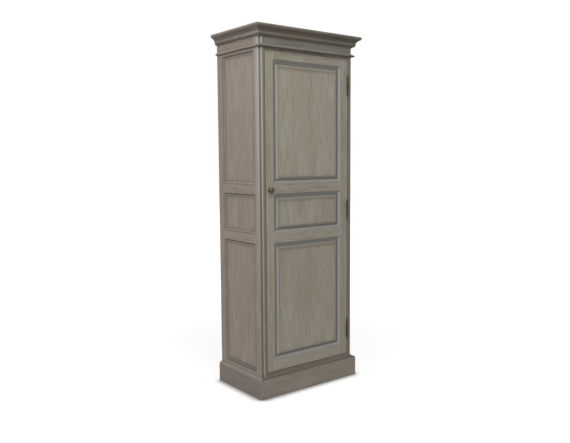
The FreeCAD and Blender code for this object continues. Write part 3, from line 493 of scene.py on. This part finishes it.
def post_oak():
    """Upright oak: dry brush near its corner that grows paler towards the top as painted light, painted
    shade on its front beside the door, a painted highlight on the arris by the cove, painted shade in the
    cove, and glaze and painted shade in its mouldings.
    """
    oak = Oak("post_oak", ALONG_Z, SIDE_OAK)
    across = oak.inside_of(oak.x, HALF_WIDTH)
    inward = oak.past(oak.y, FRONT)
    squares = oak.math("ADD", oak.math("POWER", across, 2.0), oak.math("POWER", inward, 2.0))
    corner = oak.math("SQRT", squares)
    on_right = oak.rise(oak.x, *RIGHT_HALF)

    moulding = oak.part(oak.band(across, *SIDE_GLAZE_AND_SHADE), oak.rise(inward, *MOULDING_START))
    oak.lay(moulding, GLAZE_AND_SHADE, strength=0.55)
    # Dry brush near the corner, paler towards the top as painted light.
    lime_and_highlight = oak.part(oak.rise(corner, *POST_PALE), oak.rise(oak.z, *PALER_HEIGHTS))
    oak.lay(lime_and_highlight, DRY_BRUSH_AND_HIGHLIGHT, strength=0.9)
    # Painted shade on the front beside the door's gap, reaching further on the right post.
    gap_shade = oak.rise(oak.math("ADD", across, oak.part(on_right, RIGHT_GAP_SHADE_SHIFT)), *POST_GAP_SHADE)
    oak.lay(oak.part(oak.rise(inward, *FRONT_FACE), gap_shade), EDGE_DARKENING, strength=0.85)
    # A painted highlight along the arris by the cove, stronger towards the top.
    arris = oak.part(oak.band(corner, *POST_ARRIS), oak.rise(oak.z, *ARRIS_HEIGHTS))
    oak.lay(arris, HIGHLIGHT_BLUE, strength=0.55)
    # Painted shade in the cove where it turns to the side, and over all of the right post's cove.
    turned_away = oak.math("MAXIMUM", oak.rise(oak.facing["X"], *FACING_LEFT), on_right)
    cove = oak.part(oak.rise(corner, *COVE_SHADE), turned_away)
    oak.lay(cove, GLAZE_AND_SHADE, strength=0.85)
    oak.glaze_and_shade_recesses()
    return oak.done()


def moulding_oak(name, grain, tones):
    """Oak for the run mouldings of the cornice and the astragal, with painted shade on faces turned down
    and glaze and painted shade in their recesses.
    """
    oak = Oak(name, grain, tones)
    oak.painted_shade(strength=0.5)
    oak.glaze_and_shade_recesses(reach=0.02, strength=0.85)
    oak.worn(strength=0.25)
    return oak.done()


def frieze_oak():
    """Oak for the front rails, darker as the front's painted shade, with blue-grey paint left thin on the
    frieze and glaze and painted shade in their recesses.
    """
    oak = Oak("front_rail_oak", ALONG_X, DARK_SHADED_OAK)
    oak.lay(oak.rise(oak.past(oak.z, ASTRAGAL_FOOT), *FRONT_FRIEZE), BLUE_GREY, strength=0.2)
    oak.glaze_and_shade_recesses(reach=0.03, strength=0.65)
    return oak.done()


def plinth_oak(name, grain, tones, over, strength):
    """Oak for the plinth, with a colour laid on top of its cap, painted shade at the front and a painted
    highlight at the sides, and glaze and painted shade in its recesses.
    """
    oak = Oak(name, grain, tones)
    cap = oak.rise(oak.past(oak.z, PLINTH_TOP), *PLINTH_CAP)
    oak.lay(oak.part(cap, oak.rise(oak.facing["Z"], *FACING_UP)), over, strength)
    oak.glaze_and_shade_recesses(reach=0.02, strength=0.6)
    oak.worn(strength=0.12)
    return oak.done()


def inner_oak(name, grain):
    """Unpainted oak for the inside, with glaze and painted shade in its recesses."""
    oak = Oak(name, grain, INNER_OAK)
    oak.glaze_and_shade_recesses(reach=0.012, strength=0.35)
    return oak.done()


def back_board_oak():
    """Oak for the back boards, each in a tone of its own and dusty along its joints, with glaze and
    painted shade in its recesses.
    """
    oak = Oak("back_board_oak", ALONG_Z, INNER_OAK)
    start, end = low("back_boards").x, high("back_boards").x
    count = oak.math("DIVIDE", oak.math("SUBTRACT", oak.x, start), (end - start) / BACK_BOARDS)
    number = oak.math("FLOOR", count)
    pick = oak.add("ShaderNodeTexWhiteNoise", noise_dimensions="1D")
    oak.feed(pick.inputs["W"], number)
    streak = OAK[1]
    oak.lay(pick.outputs["Value"], streak, strength=0.35)
    from_middle = oak.math("ABSOLUTE", oak.math("SUBTRACT", oak.math("SUBTRACT", count, number), 0.5))
    oak.lay(oak.rise(from_middle, *BOARD_JOINT), GLAZE_AND_SHADE, strength=0.55)
    oak.glaze_and_shade_recesses(reach=0.012, strength=0.35)
    return oak.done()


def bronze():
    """Antique bronze, rubbed bright in patches and along its edges."""
    paint = Paint("antique_bronze_paint", BRONZE)
    patches = paint.noise(paint.here, size=0.0018, detail=5, roughness=0.65)
    paint.lay(paint.rise(patches, 0.52, 0.75), BRONZE_WORN, strength=0.35)
    paint.lay(paint.rise(paint.arris(0.0015), 0.1, 0.5), BRONZE_WORN, strength=0.5)
    paint.shader.inputs["Metallic"].default_value = 0.7
    paint.carve(paint.noise(paint.here, size=0.0006, detail=2), BRONZE_RELIEF)
    return paint.finish(paint.between(patches, *BRONZE_ROUGHNESS))


def steel():
    """Nickelled steel, brushed along z."""
    paint = Paint("nickelled_steel", STEEL)
    brushed = paint.noise(paint.scaled(paint.here, (1, 1, 0.05)), size=0.0005)
    paint.lay(brushed, STEEL_DULL, strength=0.4)
    paint.shader.inputs["Metallic"].default_value = 1.0
    paint.carve(brushed, STEEL_RELIEF)
    return paint.finish(paint.between(brushed, *STEEL_ROUGHNESS))


def plastic():
    """Brown plastic with a fine grit."""
    paint = Paint("moulded_plastic", PLASTIC)
    grit = paint.noise(paint.here, size=0.0004, detail=2)
    paint.lay(grit, PLASTIC_WORN, strength=0.3)
    paint.carve(grit, PLASTIC_RELIEF)
    return paint.finish(paint.between(grit, *PLASTIC_ROUGHNESS))


MATERIALS = {
    "post": post_oak(),
    "side_level": side_oak("side_oak_level", ALONG_Y),
    "lock_stile": door_frame_oak("lock_stile_oak", ALONG_Z, OAK),
    "hinge_stile": door_frame_oak("hinge_stile_oak", ALONG_Z, SHADED_OAK),
    "door_level": door_frame_oak("door_oak_level", ALONG_X, SHADED_OAK),
    "door_bottom": door_frame_oak("door_bottom_oak", ALONG_X, OAK),
    "front_rail": frieze_oak(),
    # The front's cornice and astragal take the darker oak, with its painted shade.
    "cornice_front": moulding_oak("cornice_oak_front", ALONG_X, DARK_SHADED_OAK),
    "cornice_return": moulding_oak("cornice_oak_return", ALONG_Y, RETURN_OAK),
    # The front plinth's cap takes painted shade, the sides' cap a painted highlight.
    "plinth_front": plinth_oak("plinth_oak_front", ALONG_X, PLINTH_OAK, GLAZE_AND_SHADE, 0.8),
    "plinth_return": plinth_oak("plinth_oak_return", ALONG_Y, PLINTH_RETURN_OAK, DRY_BRUSH_AND_HIGHLIGHT, 0.15),
    "inner_level": inner_oak("inner_oak_level", ALONG_X),
    "back_boards": back_board_oak(),
    "bronze": bronze(),
    "steel": steel(),
    "plastic": plastic(),
}

FINISHES = {
    "post": ["left_front_post", "right_front_post", "left_rear_post", "right_rear_post"],
    "side_level": [f"{side}_{place}_side_rail" for side in ("left", "right")
                   for place in ("bottom", "lower", "upper", "top")],
    "lock_stile": ["door_lock_stile"],
    "hinge_stile": ["door_hinge_stile"],
    "door_level": ["door_lower_rail", "door_lock_rail", "door_top_rail"],
    "door_bottom": ["door_bottom_rail"],
    "front_rail": ["front_bottom_rail", "front_top_rail"],
    "cornice_front": ["cornice_front", "astragal_front", "top_board"],
    "cornice_return": ["cornice_left", "cornice_right", "astragal_left", "astragal_right"],
    "plinth_front": ["plinth_front"],
    "plinth_return": ["plinth_left", "plinth_right"],
    "inner_level": ["floor_board", "fixed_shelf", "lower_shelf", "middle_shelf", "upper_shelf",
                    "rear_bottom_rail", "rear_top_rail", "plinth_blocks"],
    "back_boards": ["back_boards"],
    "bronze": ["hinge_frame_leaves", "hinge_door_leaves", "hinge_pins", "knob", "knob_rosette"],
    "steel": ["shelf_pins", "knob_screw", "catch_strike"],
    "plastic": ["catch_magnet"],
}

for place in ("lower", "middle", "upper"):
    door_panel = f"door_{place}_panel"
    MATERIALS[door_panel] = door_panel_oak(door_panel)
    FINISHES[door_panel] = [door_panel]
    side_panels = [f"{side}_{place}_side_panel" for side in ("left", "right")]
    MATERIALS[f"{place}_side"] = side_oak(f"side_oak_{place}", ALONG_Z, side_panels[0])
    FINISHES[f"{place}_side"] = side_panels

for finish, nodes in FINISHES.items():
    for node in nodes:
        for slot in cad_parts[node].material_slots:
            slot.material = MATERIALS[finish]


# --------------------------------------------------------------------------
# Screws, nails and magnet poles
# --------------------------------------------------------------------------

# Heads, with how far each stands proud. All of them are sunk a little into what they hold.
HEAD_SUNK = 0.0006
HINGE_SCREW = {"radius": 0.0035, "rise": 0.00005, "slot": 0.0008}
KNOB_SCREW = {"radius": 0.0026, "rise": 0.0003, "slot": 0.0009}
MAGNET_SCREW = {"radius": 0.0032, "rise": 0.0009, "slot": 0.0008}
STRIKE_SCREW = {"radius": 0.0022, "rise": 0.00015, "slot": 0.0006}
NAIL = {"radius": 0.0024, "rise": 0.0003}

# A screw's rim as a share of its rise, and its flat top as a share of its radius.
SCREW_RIM = 0.3
SCREW_TOP = 0.85
# A nail's rings, from the bottom up, as shares of its radius and its rise.
NAIL_RINGS = ((1.0, -2.0), (1.0, 0.2), (0.8, 0.65), (0.45, 0.95))
# Steps round half a screw, a whole nail and one end of a pole.
SCREW_STEPS = 12
NAIL_STEPS = 14
POLE_STEPS = 6

# Turns of the screws' slots in degrees: those of the hinges in order, a pair's and the knob's.
HINGE_TURNS = (20, 75, 140, 105, 50, 165)
PAIR_TURNS = (165, 75)
KNOB_TURN = 20

# Places of the screws on what they hold.
HINGE_LEAF_HEIGHT = 0.1
LEAF_THICKNESS = 0.0014
FRAME_LEAF_FACE = low("right_front_post").x - LEAF_THICKNESS
DOOR_LEAF_FACE = high("door_hinge_stile").x + LEAF_THICKNESS
HINGE_SCREW_EDGE = 0.01
HINGE_SCREW_ROWS = (-1, 0, 1)
HINGE_SCREW_SPREAD = 0.034
HINGE_SCREW_STAGGER = 0.003
MAGNET_SCREW_SPREAD = 0.015
STRIKE_SCREW_SPREAD = 0.013

# A magnet's pole strips: their length as a share of the magnet's, and the bevel on their edge as
# a share of how proud they stand.
POLE_WIDTH = 0.0022
POLE_LENGTH = 0.8
POLE_PROUD = 0.0001
POLE_BEVEL = 0.6

# How far from its middle a back board's nails sit, as a share of its width.
NAIL_SPREAD = 1 / 3


def facing_place(centre, facing, turn=0.0):
    """The placing of a small piece on a surface, facing away from it and turned in degrees."""
    lie = Vector(facing).to_track_quat("Z", "Y").to_matrix().to_4x4()
    return Matrix.Translation(centre) @ lie @ Matrix.Rotation(math.radians(turn), 4, "Z")


def stack(mesh, rings):
    """Skin a closed solid over rings of points with as many points each."""
    layers = [[mesh.verts.new(point) for point in ring] for ring in rings]
    count = len(layers[0])
    for under, over in zip(layers, layers[1:]):
        for index in range(count):
            following = (index + 1) % count
            mesh.faces.new((under[index], under[following], over[following], over[index]))
    mesh.faces.new(reversed(layers[0]))
    mesh.faces.new(layers[-1])


def add_screw(mesh, place, radius, rise, slot):
    """A slotted screw head: two half discs, rounded at the rim, either side of the slot."""
    profile = ((radius, -HEAD_SUNK), (radius, rise * SCREW_RIM), (radius * SCREW_TOP, rise))
    for half in (0, 180):
        turned = place @ Matrix.Rotation(math.radians(half), 4, "Z")
        rings = []
        for reach, height in profile:
            start = math.asin(slot / 2 / reach)
            sweep = math.pi - 2 * start
            angles = [start + sweep * step / SCREW_STEPS for step in range(SCREW_STEPS + 1)]
            rings.append([turned @ Vector((reach * math.cos(angle), reach * math.sin(angle), height))
                          for angle in angles])
        stack(mesh, rings)


def add_nail(mesh, place, radius, rise):
    """A domed nail head, driven home."""
    angles = [2 * math.pi * step / NAIL_STEPS for step in range(NAIL_STEPS)]
    rings = []
    for share, height in NAIL_RINGS:
        reach = radius * share
        rings.append([place @ Vector((reach * math.cos(angle), reach * math.sin(angle), rise * height))
                      for angle in angles])
    stack(mesh, rings)


def add_pole(mesh, place, width, length, proud):
    """A steel pole strip with rounded ends and a bevelled edge."""
    bevel = proud * POLE_BEVEL
    straight = (length - width) / 2
    rings = []
    for inset, height in ((0, -HEAD_SUNK), (0, proud - bevel), (bevel, proud)):
        reach = width / 2 - inset
        ring = []
        for end in (1, -1):
            for step in range(POLE_STEPS + 1):
                angle = math.pi * step / POLE_STEPS
                x = end * reach * math.cos(angle)
                y = end * (straight + reach * math.sin(angle))
                ring.append(place @ Vector((x, y, height)))
        rings.append(ring)
    stack(mesh, rings)


def make_piece(name, body, finish, fill):
    """A piece whose mesh is filled by a function, riding on a body."""
    mesh = bmesh.new()
    fill(mesh)
    data = bpy.data.meshes.new(name)
    mesh.to_mesh(data)
    mesh.free()
    data.materials.append(MATERIALS[finish])
    piece = bpy.data.objects.new(name, data)
    bpy.context.scene.collection.objects.link(piece)
    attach(piece, body)


def hinge_heights():
    """The heights of the middles of the three hinges."""
    lowest, highest = low("hinge_frame_leaves").z, high("hinge_frame_leaves").z
    reach = HINGE_LEAF_HEIGHT / 2
    return lowest + reach, (lowest + highest) / 2, highest - reach


def leaf_screws(x, facing):
    """A function that puts three screws in each hinge leaf."""
    y = high("hinge_frame_leaves").y - HINGE_SCREW_EDGE

    def fill(mesh):
        for hinge, height in enumerate(hinge_heights()):
            for row in HINGE_SCREW_ROWS:
                turn = HINGE_TURNS[(hinge * len(HINGE_SCREW_ROWS) + row) % len(HINGE_TURNS)]
                stagger = HINGE_SCREW_STAGGER * (1 if row else -1)
                spot = (x, y + stagger, height + row * HINGE_SCREW_SPREAD)
                add_screw(mesh, facing_place(spot, (facing, 0, 0), turn), **HINGE_SCREW)

    return fill


def magnet_poles(mesh):
    """Two upright pole strips on the face that meets the strike."""
    size = high("catch_magnet") - low("catch_magnet")
    centre = middle("catch_magnet")
    for side in (LEFT, RIGHT):
        spot = (centre.x + side * size.x / 4, low("catch_magnet").y, centre.z)
        add_pole(mesh, facing_place(spot, (0, -1, 0)), POLE_WIDTH, size.z * POLE_LENGTH, POLE_PROUD)


def magnet_screws(mesh):
    """Two screws in the magnet's right face, one above the other."""
    centre = middle("catch_magnet")
    for end, turn in zip((DOWN, UP), PAIR_TURNS):
        spot = (high("catch_magnet").x, centre.y, centre.z + end * MAGNET_SCREW_SPREAD)
        add_screw(mesh, facing_place(spot, (1, 0, 0), turn), **MAGNET_SCREW)


def strike_screws(mesh):
    """Two screws in the part of the strike that the magnet doesn't cover."""
    x = (high("catch_magnet").x + high("catch_strike").x) / 2
    for end, turn in zip((DOWN, UP), PAIR_TURNS):
        spot = (x, high("catch_strike").y, middle("catch_strike").z + end * STRIKE_SCREW_SPREAD)
        add_screw(mesh, facing_place(spot, (0, 1, 0), turn), **STRIKE_SCREW)


def knob_screw_head(mesh):
    """The head of the knob's screw, on the door's back."""
    centre = middle("knob_screw")
    spot = (centre.x, high("knob_screw").y, centre.z)
    add_screw(mesh, facing_place(spot, (0, 1, 0), KNOB_TURN), **KNOB_SCREW)


def back_nails(mesh):
    """Two nails through each back board into each rear rail and the fixed shelf."""
    start, end = low("back_boards").x, high("back_boards").x
    width = (end - start) / BACK_BOARDS
    for board in range(BACK_BOARDS):
        centre = start + (board + 0.5) * width
        for side in (LEFT, RIGHT):
            for held in ("rear_bottom_rail", "fixed_shelf", "rear_top_rail"):
                spot = (centre + side * width * NAIL_SPREAD, high("back_boards").y, middle(held).z)
                add_nail(mesh, facing_place(spot, (0, 1, 0)), **NAIL)


make_piece("hinge_frame_screws", "cabinet", "bronze", leaf_screws(FRAME_LEAF_FACE, LEFT))
make_piece("hinge_door_screws", "door", "bronze", leaf_screws(DOOR_LEAF_FACE, RIGHT))
make_piece("magnet_poles", "cabinet", "steel", magnet_poles)
make_piece("magnet_screws", "cabinet", "steel", magnet_screws)
make_piece("strike_screws", "door", "steel", strike_screws)
make_piece("knob_screw_head", "door", "steel", knob_screw_head)
make_piece("back_nails", "cabinet", "steel", back_nails)


# --------------------------------------------------------------------------
# Stage, lights and camera
# --------------------------------------------------------------------------

# The floor as the camera sees it: its own glow near the object and far off, the tone in which it
# takes light, and how dark and how wide the shadow painted round where the object stands is.
FLOOR_SIZE = 24
FLOOR_ROUGHNESS = 0.9
FLOOR_GLOW = 0.84
FLOOR_FAR_GLOW = 1.02
FLOOR_FAR = (1.0, 3.0)
FLOOR_SHOWN = srgb(112, 112, 112)
FLOOR_CONTACT = 0.25
FLOOR_SHADOW_REACH = 0.065
FLOOR_TOUCH = (0.5, 0.03)
# The two tones in which it throws light back at the object.
FLOOR_PALE = srgb(222, 222, 222)
FLOOR_DULL = srgb(214, 214, 214)

# Angles are in degrees, powers in watts and the lens in millimetres.
WORLD_STRENGTH = 0.31
KEY_LIGHT = {"place": (-2.6, -1.4, 3.6), "target": (-0.2, 0, 1.4), "size": 1.4, "power": 72}
FRONT_LIGHT = {"place": (-3.6, -14.0, 16.5), "target": (0, 0, 1.0), "size": 7.0, "power": 1800}
CAMERA = {"place": (-2.492, -3.1645, 1.406), "azimuth": 37.91, "pitch": 5.63, "roll": -0.39, "lens": 40.6}
SENSOR_WIDTH = 36


def floor_white():
    """A pale floor that the camera sees as white, apart from a shadow painted round where the object
    stands and a faint real one.
    """
    paint = Paint("floor_white", FLOOR_PALE)
    path = paint.add("ShaderNodeLightPath").outputs
    seen = paint.math("MAXIMUM", path["Is Camera Ray"],
                      paint.math("MAXIMUM", path["Is Glossy Ray"], path["Is Transmission Ray"]))
    paint.lay(paint.noise(paint.here, size=0.8, detail=2), FLOOR_DULL)
    # A shadow painted into the floor's glow and tone, where the object closes it in.
    clear = paint.rise(paint.recess(FLOOR_SHADOW_REACH), *FLOOR_TOUCH)
    shade = paint.grey(paint.between(clear, FLOOR_CONTACT, 1))
    paint.lay(seen, paint.mix(1.0, shade, FLOOR_SHOWN, "MULTIPLY"))
    paint.feed(paint.shader.inputs["Emission Color"], shade)
    away = paint.add("ShaderNodeVectorMath", paint.here, operation="LENGTH").outputs["Value"]
    glow = paint.between(paint.rise(away, *FLOOR_FAR), FLOOR_GLOW, FLOOR_FAR_GLOW)
    paint.feed(paint.shader.inputs["Emission Strength"], paint.part(seen, glow))
    return paint.finish(FLOOR_ROUGHNESS)


def make_floor():
    bpy.ops.mesh.primitive_plane_add(size=FLOOR_SIZE, location=(0, 0, 0))
    floor = bpy.context.object
    floor.name = "studio_floor"
    floor.data.materials.append(floor_white())


def make_world(strength):
    """White where it is seen, and light of a given strength elsewhere."""
    world = bpy.data.worlds.new("studio")
    bpy.context.scene.world = world
    world.use_nodes = True
    tree = world.node_tree
    background = tree.nodes["Background"]
    background.inputs["Color"].default_value = (1, 1, 1, 1)
    path = tree.nodes.new("ShaderNodeLightPath").outputs
    seen = path["Is Camera Ray"]
    for other in ("Is Glossy Ray", "Is Transmission Ray"):
        widest = tree.nodes.new("ShaderNodeMath")
        widest.operation = "MAXIMUM"
        tree.links.new(seen, widest.inputs[0])
        tree.links.new(path[other], widest.inputs[1])
        seen = widest.outputs[0]
    level = tree.nodes.new("ShaderNodeMapRange")
    tree.links.new(seen, level.inputs["Value"])
    level.inputs["To Min"].default_value = strength
    level.inputs["To Max"].default_value = 1.0
    tree.links.new(level.outputs[0], background.inputs["Strength"])


def soft_box(name, place, target, size, power):
    """A square area light that faces its target."""
    data = bpy.data.lights.new(name, "AREA")
    data.shape = "SQUARE"
    data.size = size
    data.energy = power
    lamp = bpy.data.objects.new(name, data)
    bpy.context.scene.collection.objects.link(lamp)
    lamp.location = place
    lamp.rotation_mode = "QUATERNION"
    lamp.rotation_quaternion = (Vector(target) - Vector(place)).to_track_quat("-Z", "Y")


def make_camera(place, azimuth, pitch, roll, lens):
    """A level camera turned from +Y towards +X, pitched down and rolled."""
    data = bpy.data.cameras.new("camera")
    data.sensor_width = SENSOR_WIDTH
    data.lens = lens
    camera = bpy.data.objects.new("camera", data)
    bpy.context.scene.collection.objects.link(camera)
    turn, tilt, lean = (math.radians(angle) for angle in (azimuth, pitch, roll))
    ahead = Vector((math.sin(turn) * math.cos(tilt), math.cos(turn) * math.cos(tilt), -math.sin(tilt)))
    level = Vector((math.cos(turn), -math.sin(turn), 0))
    above = level.cross(ahead)
    right = level * math.cos(lean) + above * math.sin(lean)
    up = above * math.cos(lean) - level * math.sin(lean)
    camera.matrix_world = Matrix.Translation(place) @ Matrix((right, up, -ahead)).transposed().to_4x4()
    bpy.context.scene.camera = camera


make_floor()
make_world(WORLD_STRENGTH)
soft_box("key", **KEY_LIGHT)
soft_box("front", **FRONT_LIGHT)
make_camera(**CAMERA)

scene = bpy.context.scene
scene.view_settings.view_transform = "Standard"
